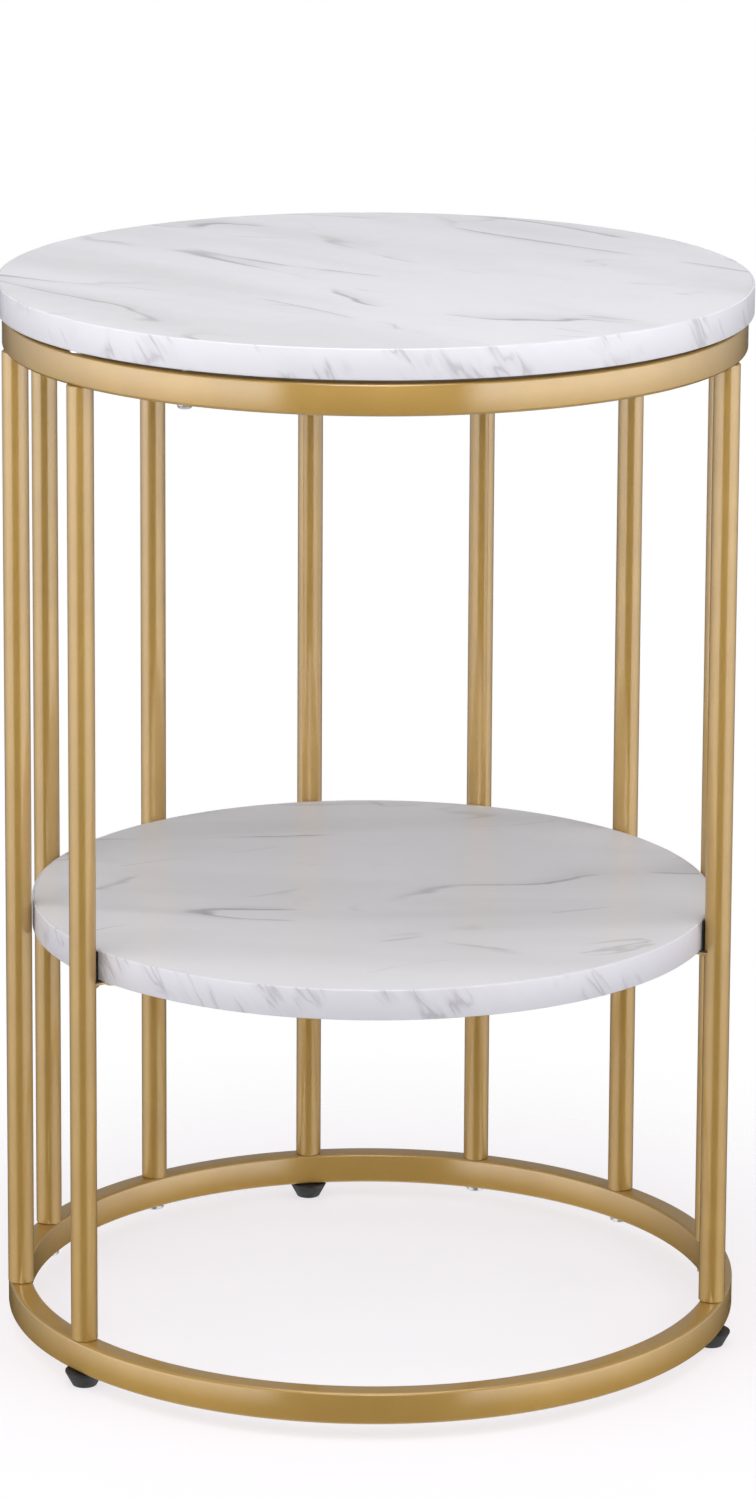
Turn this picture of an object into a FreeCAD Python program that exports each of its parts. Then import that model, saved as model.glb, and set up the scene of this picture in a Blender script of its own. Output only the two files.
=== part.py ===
"""Round side table, in millimetres: a board and a shelf on two rings and a fan of uprights.

The floor is Z = 0 and the table's axis is Z. The open side of the frame faces -Y. Places on the rings are
called stations: station 0 is the back centre upright, and stations count up by one upright pitch towards
the left of the table and down towards its right.
"""
import FreeCAD, Part
import math
import os
import Sketcher
from FreeCAD import Vector

SIZES = {
    # boards and their edge strips
    "top_diameter": 400,
    "top_thickness": 16,
    "shelf_thickness": 16,
    "edging_thickness": 1,
    "edging_bevel": 0.4,
    "glue_line": 0.2,
    "lower_bay_height": 195.5,
    # rings of rectangular tube
    "top_overhang": 3,
    "ring_width": 12,
    "ring_height": 17,
    "ring_wall": 1.2,
    "ring_corner": 1.5,
    # round uprights
    "upright_diameter": 14,
    "upright_wall": 1,
    "upright_length": 512.5,
    "upright_chamfer": 0.5,
    "uprights_per_side": 4,
    "upright_pitch": 29.3,
    # threaded plugs in the uprights' ends, and the bolts that clamp the rings to them
    "plug_length": 20,
    "plug_chamfer": 0.6,
    "bolt_diameter": 6,
    "bolt_engagement": 16,
    "bolt_tip_chamfer": 0.8,
    "bolt_head_diameter": 10.5,
    "bolt_head_height": 2,
    "bolt_head_chamfer": 0.5,
    "bolt_socket_flats": 4,
    "bolt_socket_depth": 1.2,
    "bolt_clearance": 0.3,
    "thread_clearance": 0.05,
    # board screws
    "top_screw_count": 3,
    "top_screw_pitch_share": 4.1,
    "top_screw_start_share": 3.45,
    "screw_diameter": 4,
    "screw_grip": 11,
    "screw_point": 3,
    "screw_head_diameter": 8,
    "screw_head_height": 2.8,
    "screw_head_rim": 1.2,
    "screw_head_crown": 4,
    "screw_clearance": 0.25,
    "pilot_relief": 1,
    # welded flat brackets under the shelf, and the soft buffers between them and the shelf
    "bracket_thickness": 1.5,
    "bracket_width": 10,
    "bracket_reach": 22,
    "bracket_corner": 3,
    "weld_leg": 2,
    "weld_margin": 0.5,
    "buffer_thickness": 0.8,
    "buffer_lip": 0.8,
    "buffer_wall_width": 6,
    "buffer_reach": 18,
    "buffer_drop": 0.6,
    "shelf_clearance": 0.2,
    # levelling feet
    "foot_gap": 0.3,
    "foot_roof": 2.6,
    "foot_recess": 2,
    "foot_wall": 1.7,
    "foot_flare": 3.9,
    "foot_rim": 1,
    "foot_round": 0.3,
    "stud_engagement": 20,
    "stud_head_flats": 8,
    "stud_head_height": 3.6,
}

DERIVED = {
    # radii
    "top_radius": "Sizes.top_diameter / 2",
    "ring_outer": "top_radius - Sizes.top_overhang",
    "ring_inner": "ring_outer - Sizes.ring_width",
    "station_radius": "ring_outer - Sizes.ring_width / 2",
    "upright_radius": "Sizes.upright_diameter / 2",
    "upright_bore": "Sizes.upright_diameter - 2 * Sizes.upright_wall",
    "upright_face": "station_radius - upright_radius",
    "shelf_radius": "upright_face - Sizes.buffer_thickness - Sizes.shelf_clearance",
    "shelf_screw_radius": "upright_face - Sizes.bracket_reach / 2",
    # heights above the floor
    "foot_pad_height": "Sizes.foot_recess + Sizes.stud_head_height + Sizes.foot_roof",
    "lower_ring_base": "foot_pad_height + Sizes.foot_gap",
    "upright_base": "lower_ring_base + Sizes.ring_height",
    "upper_ring_base": "upright_base + Sizes.upright_length",
    "upper_ring_top": "upper_ring_base + Sizes.ring_height",
    "top_base": "upper_ring_top + Sizes.bolt_head_height",
    "shelf_base": "upright_base + Sizes.lower_bay_height",
    "bracket_top": "shelf_base - Sizes.buffer_thickness",
    "bracket_base": "bracket_top - Sizes.bracket_thickness",
    # angles about the table's axis, from +X, in degrees
    "back_angle": "90",
    "half_sweep": "Sizes.uprights_per_side * Sizes.upright_pitch",
    "first_angle": "back_angle - half_sweep",
    "first_bolt_angle": "first_angle + Sizes.upright_pitch",
    "top_screw_step": "Sizes.top_screw_pitch_share * Sizes.upright_pitch",
    "first_screw_angle": "back_angle - Sizes.top_screw_start_share * Sizes.upright_pitch",
    # counts
    "upright_count": "2 * Sizes.uprights_per_side + 1",
    "plain_bolts_per_side": "Sizes.uprights_per_side - 1",
    "support_count": "3",
    # fits
    "bolt_hole": "Sizes.bolt_diameter + 2 * Sizes.bolt_clearance",
    "plug_bore": "Sizes.bolt_diameter + 2 * Sizes.thread_clearance",
    "screw_hole": "Sizes.screw_diameter + 2 * Sizes.screw_clearance",
    "pilot_depth": "Sizes.screw_grip + Sizes.pilot_relief",
    "top_screw_length": "Sizes.ring_height + Sizes.bolt_head_height + Sizes.screw_grip",
    "shelf_screw_length": "shelf_base - bracket_base + Sizes.screw_grip",
    # corners of hexagons, and the foot's radii round the stud's head
    "socket_corner": "Sizes.bolt_socket_flats / sqrt(3)",
    "stud_head_corner": "Sizes.stud_head_flats / sqrt(3)",
    "foot_bottom_radius": "stud_head_corner + Sizes.foot_wall",
    "foot_top_radius": "foot_bottom_radius + Sizes.foot_flare",
    # how far a bracket's weld runs round its upright, and the buffer on it, which stands up the shelf's edge
    "weld_half": "Sizes.bracket_width / 2 - Sizes.weld_margin",
    "weld_sweep": "2 * asin(min(1; weld_half / (upright_radius + Sizes.weld_leg)))",
    "buffer_width": "Sizes.bracket_width + 2 * Sizes.buffer_lip",
    "buffer_rise": "Sizes.buffer_thickness + Sizes.shelf_thickness - Sizes.buffer_drop",
    # roundings and bevels, limited by the walls that they are cut from
    "edging_ease": "min(Sizes.edging_bevel; Sizes.edging_thickness / 2)",
    "upright_bevel": "min(Sizes.upright_chamfer; Sizes.upright_wall / 2)",
    "foot_edge": "min(Sizes.foot_round; Sizes.foot_rim / 2)",
}

doc = FreeCAD.newDocument("SideTable")
sizes = doc.addObject("Spreadsheet::Sheet", "Sizes")
derived = doc.addObject("Spreadsheet::Sheet", "Derived")
for row, (alias, number) in enumerate(SIZES.items(), start=1):
    sizes.set(f"A{row}", alias)
    sizes.set(f"B{row}", str(number))
    sizes.setAlias(f"B{row}", alias)
for row, (alias, formula) in enumerate(DERIVED.items(), start=1):
    derived.set(f"A{row}", alias)
    derived.set(f"B{row}", f"={formula}")
    derived.setAlias(f"B{row}", alias)
doc.recompute()


def number_of(expression):
    """The number that an expression gives."""
    return float(sizes.evalExpression(expression))


# Sketching


def new_body(label, angle=None, height=None, x=None, y=None):
    """An empty body, turned by an angle about the table's axis, and moved."""
    body = doc.addObject("PartDesign::Body", label)
    body.Label = label
    places = {"Rotation.Angle": angle, "Base.x": x, "Base.y": y, "Base.z": height}
    for name, expression in places.items():
        if expression:
            body.setExpression(f"Placement.{name}", expression)
    return body


def origin_feature(body, role):
    """One of a body's own origin planes or axes."""
    return next(feature for feature in body.Origin.OriginFeatures if feature.Role == role)


def new_sketch(body, name, role, offset=None):
    """A sketch on one of the body's origin planes, moved along the plane's normal."""
    sketch = body.newObject("Sketcher::SketchObject", f"{body.Label}_{name}")
    sketch.AttachmentSupport = [(origin_feature(body, role), "")]
    sketch.MapMode = "FlatFace"
    if offset:
        sketch.setExpression("AttachmentOffset.Base.z", offset)
    return sketch


def dimension(sketch, kind, where, expression):
    """A dimension of a sketch that follows an expression."""
    index = sketch.addConstraint(Sketcher.Constraint(kind, *where, number_of(expression)))
    sketch.renameConstraint(index, f"size{index}")
    sketch.setExpression(f"Constraints.size{index}", expression)


def place_point(sketch, geometry, end, x, y):
    """Ties one point of a sketch's geometry to its place."""
    dimension(sketch, "DistanceX", (-1, 1, geometry, end), x)
    dimension(sketch, "DistanceY", (-1, 1, geometry, end), y)


def add_circle(sketch, diameter, x="0", y="0"):
    """A circle in a sketch."""
    centre = Vector(number_of(x), number_of(y), 0)
    circle = Part.Circle(centre, Vector(0, 0, 1), number_of(diameter) / 2)
    index = sketch.addGeometry(circle, False)
    dimension(sketch, "Diameter", (index,), diameter)
    place_point(sketch, index, 3, x, y)


def add_outline(sketch, corners):
    """A closed outline of straight lines through corners, each an x and a y expression."""
    points = [Vector(number_of(x), number_of(y), 0) for x, y in corners]
    ends = points[1:] + points[:1]
    lines = [sketch.addGeometry(Part.LineSegment(a, b), False) for a, b in zip(points, ends)]
    for line, following in zip(lines, lines[1:] + lines[:1]):
        sketch.addConstraint(Sketcher.Constraint("Coincident", line, 2, following, 1))
    for line, (x, y) in zip(lines, corners):
        place_point(sketch, line, 1, x, y)


def add_rounded_box(sketch, left, right, bottom, top, corner):
    """A rectangle in a sketch with four equal round corners."""
    low = Vector(number_of(left), number_of(bottom), 0)
    high = Vector(number_of(right), number_of(top), 0)
    radius = number_of(corner)
    centres = [
        Vector(high.x - radius, low.y + radius, 0),
        Vector(high.x - radius, high.y - radius, 0),
        Vector(low.x + radius, high.y - radius, 0),
        Vector(low.x + radius, low.y + radius, 0),
    ]
    arcs, lines = [], []
    for turn, centre in enumerate(centres):
        start = (turn - 1) * math.pi / 2
        round_corner = Part.Circle(centre, Vector(0, 0, 1), radius)
        arc = Part.ArcOfCircle(round_corner, start, start + math.pi / 2)
        arcs.append(sketch.addGeometry(arc, False))
    for turn, arc in enumerate(arcs):
        begin = sketch.getPoint(arc, 2)
        finish = sketch.getPoint(arcs[(turn + 1) % len(arcs)], 1)
        lines.append(sketch.addGeometry(Part.LineSegment(begin, finish), False))
    for turn, line in enumerate(lines):
        direction = "Horizontal" if turn % 2 else "Vertical"
        sketch.addConstraint(Sketcher.Constraint(direction, line))
        sketch.addConstraint(Sketcher.Constraint("Tangent", arcs[turn], 2, line, 1))
        sketch.addConstraint(Sketcher.Constraint("Tangent", line, 2, arcs[(turn + 1) % len(arcs)], 1))
    for arc in arcs[1:]:
        sketch.addConstraint(Sketcher.Constraint("Equal", arcs[0], arc))
    right_line, top_line, left_line, bottom_line = lines
    dimension(sketch, "Radius", (arcs[0],), corner)
    dimension(sketch, "DistanceX", (-1, 1, right_line, 1), right)
    dimension(sketch, "DistanceX", (-1, 1, left_line, 1), left)
    dimension(sketch, "DistanceY", (-1, 1, top_line, 1), top)
    dimension(sketch, "DistanceY", (-1, 1, bottom_line, 1), bottom)


def add_axis(sketch, x):
    """A construction line, square to the rings, for what turns about its own axis at a station."""
    start = Vector(number_of(x), 0, 0)
    line = sketch.addGeometry(Part.LineSegment(start, start + Vector(0, 1, 0)), True)
    sketch.addConstraint(Sketcher.Constraint("Vertical", line))
    place_point(sketch, line, 1, x, "0")
    return "Axis0"


def hexagon(corner, x="0"):
    """The corners of a regular hexagon about a point on the sketch's X axis."""
    angles = range(0, 360, 60)
    return [(f"{x} + {corner} * cos({angle})", f"{corner} * sin({angle})") for angle in angles]


# Features


def new_feature(body, kind, sketch):
    """A feature of a body, made from a sketch."""
    feature = body.newObject(f"PartDesign::{kind}", f"{sketch.Name}_{kind}")
    feature.Profile = (sketch, [""])
    return feature


def pad(body, sketch, length, both_ways=False):
    """Extrudes a sketch along its normal, or half the length each way."""
    feature = new_feature(body, "Pad", sketch)
    feature.setExpression("Length", length)
    if both_ways:
        feature.SideType = "Symmetric"
    doc.recompute()
    return feature


def revolve(body, sketch, axis="V_Axis"):
    """Turns a sketch all the way round one of its axes."""
    feature = new_feature(body, "Revolution", sketch)
    feature.ReferenceAxis = (sketch, [axis])
    doc.recompute()
    return feature


def pocket(body, sketch, depth=None, upward=True):
    """Cuts a sketch into the body, or right through it where no depth is given."""
    before = body.Shape.Volume
    feature = new_feature(body, "Pocket", sketch)
    feature.Reversed = upward
    if depth:
        feature.setExpression("Length", depth)
    else:
        feature.Type = "ThroughAll"
    doc.recompute()
    if body.Shape.Volume >= before:
        raise RuntimeError(f"{feature.Name} cuts nothing")
    return feature


def repeat(body, features, step, count):
    """Repeats features about the table's axis, a step apart, or the whole body where none is named."""
    pattern = body.newObject("PartDesign::PolarPattern", f"{body.Label}_repeat")
    if features:
        pattern.Originals = features
    else:
        pattern.TransformMode = "Whole shape"
    pattern.Axis = (origin_feature(body, "Z_Axis"), [""])
    pattern.Mode = "Spacing"
    pattern.setExpression("Offset", step)
    pattern.setExpression("Occurrences", count)
    body.Tip = pattern
    doc.recompute()


def soften(body, kind, size_name, size, chosen):
    """Rounds or bevels the edges of a body that a test picks."""
    base = body.Tip
    shape = base.Shape
    names = [f"Edge{i}" for i, edge in enumerate(shape.Edges, start=1) if chosen(edge)]
    feature = body.newObject(f"PartDesign::{kind}", f"{base.Name}_{kind}")
    feature.Base = (base, names)
    feature.setExpression(size_name, size)
    doc.recompute()


def is_circle(edge, radius, height=None):
    """Whether an edge is a round one of this radius, at this height of its body."""
    curve = edge.Curve
    if not isinstance(curve, Part.Circle) or not math.isclose(curve.Radius, number_of(radius)):
        return False
    return height is None or math.isclose(curve.Center.z, number_of(height), abs_tol=edge.Tolerance)


def runs_through(edge, x, y, z):
    """Whether an edge's middle is at a place, where each of x, y and z is an expression or None."""
    middle = edge.CenterOfMass
    pairs = zip((x, y, z), middle)
    return all(e is None or math.isclose(number_of(e), at, abs_tol=edge.Tolerance) for e, at in pairs)


def drill(body, name, diameter, radius, step, count, depth=None):
    """Drills a row of holes up into a body, a step apart, from the body's own +X."""
    sketch = new_sketch(body, name, "XY_Plane")
    add_circle(sketch, diameter, x=radius)
    hole = pocket(body, sketch, depth)
    repeat(body, [hole], step, count)


# Boards


def make_disc(label, radius, thickness, height, angle, hole_radius, hole_step, hole_count):
    """A round board inside its edging, with blind screw holes in its underside."""
    body = new_body(label, angle, height)
    outline = new_sketch(body, "outline", "XY_Plane")
    add_circle(outline, f"2 * ({radius} - Sizes.edging_thickness - Sizes.glue_line)")
    pad(body, outline, thickness)
    drill(body, "pilots", "Sizes.screw_diameter", hole_radius, hole_step, hole_count,
          "Derived.pilot_depth")
    return body


def make_edging(label, radius, thickness, height):
    """The strip glued round a board, with its two outer corners bevelled."""
    body = new_body(label, height=height)
    outline = new_sketch(body, "outline", "XY_Plane")
    add_circle(outline, f"2 * {radius}")
    add_circle(outline, f"2 * ({radius} - Sizes.edging_thickness)")
    pad(body, outline, thickness)
    soften(body, "Chamfer", "Size", "Derived.edging_ease", lambda e: is_circle(e, radius))
    return body


# Frame


def make_ring(label, height):
    """A ring bent from rectangular tube, drilled through both walls at every upright."""
    body = new_body(label, "Derived.first_angle", height)
    section = new_sketch(body, "section", "XZ_Plane")
    outer, inner, wall = "Derived.ring_outer", "Derived.ring_inner", "Sizes.ring_wall"
    add_rounded_box(section, inner, outer, "0", "Sizes.ring_height", "Sizes.ring_corner")
    left, right, top = f"{inner} + {wall}", f"{outer} - {wall}", f"Sizes.ring_height - {wall}"
    add_outline(section, [(left, wall), (right, wall), (right, top), (left, top)])
    revolve(body, section)
    step, count = "Sizes.upright_pitch", "Derived.upright_count"
    drill(body, "bolt_holes", "Derived.bolt_hole", "Derived.station_radius", step, count)
    return body


def drill_for_screws(ring):
    """Drills the upper ring for the screws that hold the tabletop."""
    sketch = new_sketch(ring, "screw_holes", "XY_Plane")
    turn = "(Derived.first_screw_angle - Derived.first_angle)"
    radius = "Derived.station_radius"
    add_circle(sketch, "Derived.screw_hole", f"{radius} * cos({turn})", f"{radius} * sin({turn})")
    hole = pocket(ring, sketch)
    repeat(ring, [hole], "Derived.top_screw_step", "Sizes.top_screw_count")


def make_upright(label, angle):
    """A round tube that stands between the rings, bevelled at both ends."""
    radius = "Derived.station_radius"
    x, y = f"{radius} * cos({angle})", f"{radius} * sin({angle})"
    body = new_body(label, height="Derived.upright_base", x=x, y=y)
    section = new_sketch(body, "section", "XY_Plane")
    add_circle(section, "Sizes.upright_diameter")
    add_circle(section, "Derived.upright_bore")
    pad(body, section, "Sizes.upright_length")
    soften(body, "Chamfer", "Size", "Derived.upright_bevel",
           lambda e: is_circle(e, "Derived.upright_radius"))
    return body


def make_plugs(label, height):
    """The threaded plugs pressed into one end of every upright."""
    body = new_body(label, "Derived.first_angle", height)
    section = new_sketch(body, "section", "XZ_Plane")
    axis = "Derived.station_radius"
    bore = f"{axis} + Derived.plug_bore / 2"
    outer = f"{axis} + Derived.upright_bore / 2"
    length, bevel = "Sizes.plug_length", "Sizes.plug_chamfer"
    flare = f"{bore} + {bevel}"
    corners = [(flare, "0"), (outer, "0"), (outer, length), (flare, length)]
    add_outline(section, corners + [(bore, f"{length} - {bevel}"), (bore, bevel)])
    turned = revolve(body, section, add_axis(section, axis))
    repeat(body, [turned], "Sizes.upright_pitch", "Derived.upright_count")
    return body


def make_bolt(body, head_up):
    """A low-headed bolt on the body's own +X, seated at its Z = 0, with a hexagon socket."""
    sign = "1" if head_up else "-1"
    axis = "Derived.station_radius"
    shank, head = f"{axis} + Sizes.bolt_diameter / 2", f"{axis} + Sizes.bolt_head_diameter / 2"
    top = f"{sign} * Sizes.bolt_head_height"
    ease, tip = "Sizes.bolt_head_chamfer", "Sizes.bolt_tip_chamfer"
    length = "(Sizes.ring_height + Sizes.bolt_engagement)"
    section = new_sketch(body, "section", "XZ_Plane")
    corners = [
        (axis, top),
        (f"{head} - {ease}", top),
        (head, f"{top} - {sign} * {ease}"),
        (head, "0"),
        (shank, "0"),
        (shank, f"-{sign} * ({length} - {tip})"),
        (f"{shank} - {tip}", f"-{sign} * {length}"),
        (axis, f"-{sign} * {length}"),
    ]
    add_outline(section, corners)
    turned = revolve(body, section, add_axis(section, axis))
    socket = new_sketch(body, "socket", "XY_Plane", offset=top)
    add_outline(socket, hexagon("Derived.socket_corner", x=axis))
    return [turned, pocket(body, socket, "Sizes.bolt_socket_depth", upward=not head_up)]


def make_upper_bolts():
    """The bolts that hold the upper ring, one down into every upright."""
    body = new_body("upper_frame_bolts", "Derived.first_angle", "Derived.upper_ring_top")
    repeat(body, make_bolt(body, head_up=True), "Sizes.upright_pitch", "Derived.upright_count")
    return body


def make_lower_bolts():
    """The bolts that hold the lower ring, one up into every upright that has no foot."""
    body = new_body("lower_frame_bolts", "Derived.first_bolt_angle", "Derived.lower_ring_base")
    bolt = make_bolt(body, head_up=False)
    repeat(body, bolt, "Sizes.upright_pitch", "Derived.plain_bolts_per_side")
    repeat(body, None, "Derived.half_sweep", "2")
    return body


def make_screws(label, angle, height, radius, length, step, count):
    """Pan-headed board screws, seated head down on the body's Z = 0."""
    body = new_body(label, angle, height)
    section = new_sketch(body, "section", "XZ_Plane")
    shank, head = f"{radius} + Sizes.screw_diameter / 2", f"{radius} + Sizes.screw_head_diameter / 2"
    corners = [
        (radius, "-Sizes.screw_head_height"),
        (f"{radius} + Sizes.screw_head_crown / 2", "-Sizes.screw_head_height"),
        (head, "-Sizes.screw_head_rim"),
        (head, "0"),
        (shank, "0"),
        (shank, f"{length} - Sizes.screw_point"),
        (radius, length),
    ]
    add_outline(section, corners)
    turned = revolve(body, section, add_axis(section, radius))
    repeat(body, [turned], step, count)
    return body


# Shelf brackets


def add_plate(body, reach, width, thickness):
    """A plate that runs inwards from an upright and is cut to seat on it. The body's own +X points at it."""
    centre = "Derived.station_radius"
    free_end, half = f"Derived.upright_face - {reach}", f"{width} / 2"
    plate = new_sketch(body, "plate", "XY_Plane")
    add_outline(plate, [(free_end, f"-{half}"), (centre, f"-{half}"), (centre, half), (free_end, half)])
    pad(body, plate, thickness)
    saddle = new_sketch(body, "saddle", "XY_Plane")
    add_circle(saddle, "Sizes.upright_diameter", x=centre)
    pocket(body, saddle)


def drill_for_shelf_screw(body):
    """Drills a plate for its shelf screw."""
    hole = new_sketch(body, "screw_hole", "XY_Plane")
    add_circle(hole, "Derived.screw_hole", x="Derived.shelf_screw_radius")
    pocket(body, hole)


def make_bracket(label, angle):
    """A flat bracket on an upright, with the weld under it."""
    body = new_body(label, angle, "Derived.bracket_base")
    face = "Derived.upright_face"
    add_plate(body, "Sizes.bracket_reach", "Sizes.bracket_width", "Sizes.bracket_thickness")
    free_end, middle = f"{face} - Sizes.bracket_reach", "Sizes.bracket_thickness / 2"
    soften(body, "Fillet", "Radius", "Sizes.bracket_corner",
           lambda e: runs_through(e, free_end, None, middle))
    bead = new_sketch(body, "bead", "XZ_Plane")
    add_outline(bead, [(face, "0"), (f"{face} - Sizes.weld_leg", "0"), (face, "-Sizes.weld_leg")])
    turned = revolve(body, bead, add_axis(bead, "Derived.station_radius"))
    turned.Midplane = True
    turned.setExpression("Angle", "Derived.weld_sweep")
    doc.recompute()
    drill_for_shelf_screw(body)
    return body


def make_buffers():
    """The soft pads between the brackets and the shelf, each with a wall that parts it from its upright."""
    body = new_body("shelf_buffers", "Derived.first_angle", "Derived.bracket_top")
    add_plate(body, "Sizes.buffer_reach", "Derived.buffer_width", "Sizes.buffer_thickness")
    outer, half = "Derived.upright_face", "Sizes.buffer_wall_width / 2"
    inner = f"{outer} - Sizes.buffer_thickness"
    wall = new_sketch(body, "wall", "XY_Plane")
    add_outline(wall, [(inner, f"-{half}"), (outer, f"-{half}"), (outer, half), (inner, half)])
    pad(body, wall, "Derived.buffer_rise")
    drill_for_shelf_screw(body)
    repeat(body, None, "Derived.half_sweep", "Derived.support_count")
    return body


# Levelling feet


def make_foot_pad(label, x, y):
    """A moulded pad: a tapered foot with a straight rim, and a hexagon pocket for the stud's head."""
    body = new_body(label, x=x, y=y)
    section = new_sketch(body, "section", "XZ_Plane")
    height, rim = "Derived.foot_pad_height", "Sizes.foot_rim"
    low, wide = "Derived.foot_bottom_radius", "Derived.foot_top_radius"
    bore = "Sizes.bolt_diameter / 2"
    corners = [(bore, "0"), (low, "0"), (wide, f"{height} - {rim}"), (wide, height), (bore, height)]
    add_outline(section, corners)
    revolve(body, section)
    soften(body, "Fillet", "Radius", "Derived.foot_edge",
           lambda e: is_circle(e, low, "0") or is_circle(e, wide, height))
    recess = new_sketch(body, "recess", "XY_Plane")
    add_outline(recess, hexagon("Derived.stud_head_corner"))
    pocket(body, recess, "Sizes.foot_recess + Sizes.stud_head_height")
    return body


def make_foot_stud(label, x, y):
    """The stud that the pad turns: a hexagon head, and a shank up through the ring into the plug."""
    body = new_body(label, height="Sizes.foot_recess", x=x, y=y)
    head = new_sketch(body, "head", "XY_Plane")
    add_outline(head, hexagon("Derived.stud_head_corner"))
    pad(body, head, "Sizes.stud_head_height")
    shank = new_sketch(body, "shank", "XY_Plane")
    add_circle(shank, "Sizes.bolt_diameter")
    top = "Derived.upright_base - Sizes.foot_recess + Sizes.stud_engagement"
    pad(body, shank, top)
    soften(body, "Chamfer", "Size", "Sizes.bolt_tip_chamfer",
           lambda e: is_circle(e, "Sizes.bolt_diameter / 2", top))
    return body


# The table


def station_name(station):
    """What a station is called, seen from the open front."""
    if station == 0:
        return "back"
    side = "left" if station > 0 else "right"
    return f"{side}_{abs(station)}"


per_side = int(sizes.uprights_per_side)
station_radius = "Derived.station_radius"

nodes = [
    make_disc("tabletop_board", "Derived.top_radius", "Sizes.top_thickness", "Derived.top_base",
              "Derived.first_screw_angle", station_radius, "Derived.top_screw_step",
              "Sizes.top_screw_count"),
    make_edging("tabletop_edging", "Derived.top_radius", "Sizes.top_thickness", "Derived.top_base"),
    make_disc("shelf_board", "Derived.shelf_radius", "Sizes.shelf_thickness", "Derived.shelf_base",
              "Derived.first_angle", "Derived.shelf_screw_radius", "Derived.half_sweep",
              "Derived.support_count"),
    make_edging("shelf_edging", "Derived.shelf_radius", "Sizes.shelf_thickness", "Derived.shelf_base"),
]

upper_ring = make_ring("upper_ring", "Derived.upper_ring_base")
drill_for_screws(upper_ring)
nodes += [upper_ring, make_ring("lower_ring", "Derived.lower_ring_base")]

for station in range(-per_side, per_side + 1):
    angle = f"(Derived.back_angle + {station} * Sizes.upright_pitch)"
    nodes.append(make_upright(f"upright_{station_name(station)}", angle))

nodes += [
    make_plugs("upper_tube_plugs", "Derived.upper_ring_base - Sizes.plug_length"),
    make_plugs("lower_tube_plugs", "Derived.upright_base"),
    make_upper_bolts(),
    make_lower_bolts(),
    make_screws("tabletop_screws", "Derived.first_screw_angle", "Derived.upper_ring_base", station_radius,
                "Derived.top_screw_length", "Derived.top_screw_step", "Sizes.top_screw_count"),
    make_screws("shelf_screws", "Derived.first_angle", "Derived.bracket_base",
                "Derived.shelf_screw_radius", "Derived.shelf_screw_length", "Derived.half_sweep",
                "Derived.support_count"),
    make_buffers(),
]

# The shelf is carried, and the table stands, at the back upright and at the last one on each side.
for side, turn in (("right", -1), ("back", 0), ("left", 1)):
    angle = f"(Derived.back_angle + {turn} * Derived.half_sweep)"
    x, y = f"{station_radius} * cos({angle})", f"{station_radius} * sin({angle})"
    nodes.append(make_bracket(f"shelf_bracket_{side}", angle))
    nodes.append(make_foot_pad(f"foot_pad_{side}", x, y))
    nodes.append(make_foot_stud(f"foot_stud_{side}", x, y))

doc.recompute()
failed = [o.Name for o in doc.Objects if "Invalid" in o.State or "Error" in o.State]
failed += [node.Label for node in nodes if node.Shape.isNull() or not node.Shape.isValid()]
if failed:
    raise RuntimeError(f"these did not build: {failed}")

os.makedirs("parts", exist_ok=True)
for node in nodes:
    node.Shape.exportStep(f"parts/{node.Label}.step")
    print(f"{node.Label}: {len(node.Shape.Solids)} solids, {node.Shape.Volume:.0f} mm3")
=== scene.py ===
"""Looks of a round side table: two marble-look boards in a frame of gold tube, on three levelling feet.

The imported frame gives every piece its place. Lengths are metres and angles are degrees, unless a name
says otherwise. The floor is Z = 0, the table's axis is Z, and the open side of the frame faces -Y.
"""

import enum
import logging
import math
from collections.abc import Callable, Sequence
from dataclasses import dataclass, field

import bmesh
import bpy
from mathutils import Matrix, Vector


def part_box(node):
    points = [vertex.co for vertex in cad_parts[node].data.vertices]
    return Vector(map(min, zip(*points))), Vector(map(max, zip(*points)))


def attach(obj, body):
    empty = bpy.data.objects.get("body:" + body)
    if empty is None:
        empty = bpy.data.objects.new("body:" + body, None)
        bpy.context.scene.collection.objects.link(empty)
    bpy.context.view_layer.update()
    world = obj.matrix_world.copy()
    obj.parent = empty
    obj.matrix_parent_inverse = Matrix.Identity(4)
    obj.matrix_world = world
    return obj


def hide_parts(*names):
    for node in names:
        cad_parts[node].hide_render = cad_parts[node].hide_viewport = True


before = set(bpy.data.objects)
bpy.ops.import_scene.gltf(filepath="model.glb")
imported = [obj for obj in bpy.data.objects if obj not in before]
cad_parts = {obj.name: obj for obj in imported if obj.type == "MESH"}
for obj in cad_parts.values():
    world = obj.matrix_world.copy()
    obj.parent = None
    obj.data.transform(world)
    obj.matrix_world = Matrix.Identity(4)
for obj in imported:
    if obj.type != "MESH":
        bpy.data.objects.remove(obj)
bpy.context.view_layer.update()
MM = 0.001
SHARP_ANGLE = 35.0
TOP_SCREW_ANGLES = (-11.085, 109.045, 229.175)

# Where a mix node has its sockets for colours.
MIX_SHARE, MIX_FIRST, MIX_SECOND, MIX_RESULT = 0, 6, 7, 2

log = logging.getLogger("side_table")

Colour = tuple[float, float, float]
Triple = tuple[float, float, float]
Point = tuple[float, float]
Socket = bpy.types.NodeSocket
Stop = tuple[float, float | Socket]


class Body(enum.Enum):
    """The bodies that pieces ride on."""

    TABLE = "table"
    FOOT_RIGHT = "foot_right"
    FOOT_BACK = "foot_back"
    FOOT_LEFT = "foot_left"


class Slot(enum.Enum):
    """Names of material slots, one for each kind of piece made here."""

    BOARD_EDGING = "board_edging"
    GOLD_PAINT = "gold_paint"
    ZINC_STEEL = "zinc_steel"


class Support(enum.Enum):
    """Where the shelf is carried and the table stands, by the angle from +X."""

    RIGHT = -27.2
    BACK = 90.0
    LEFT = 207.2

    @property
    def word(self) -> str:
        """The support's name in the names of nodes and bodies."""
        return self.name.lower()


class Change(enum.Enum):
    """How a number changes over a span."""

    SMOOTH = "SMOOTHSTEP"
    EVEN = "LINEAR"


# Node trees


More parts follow.
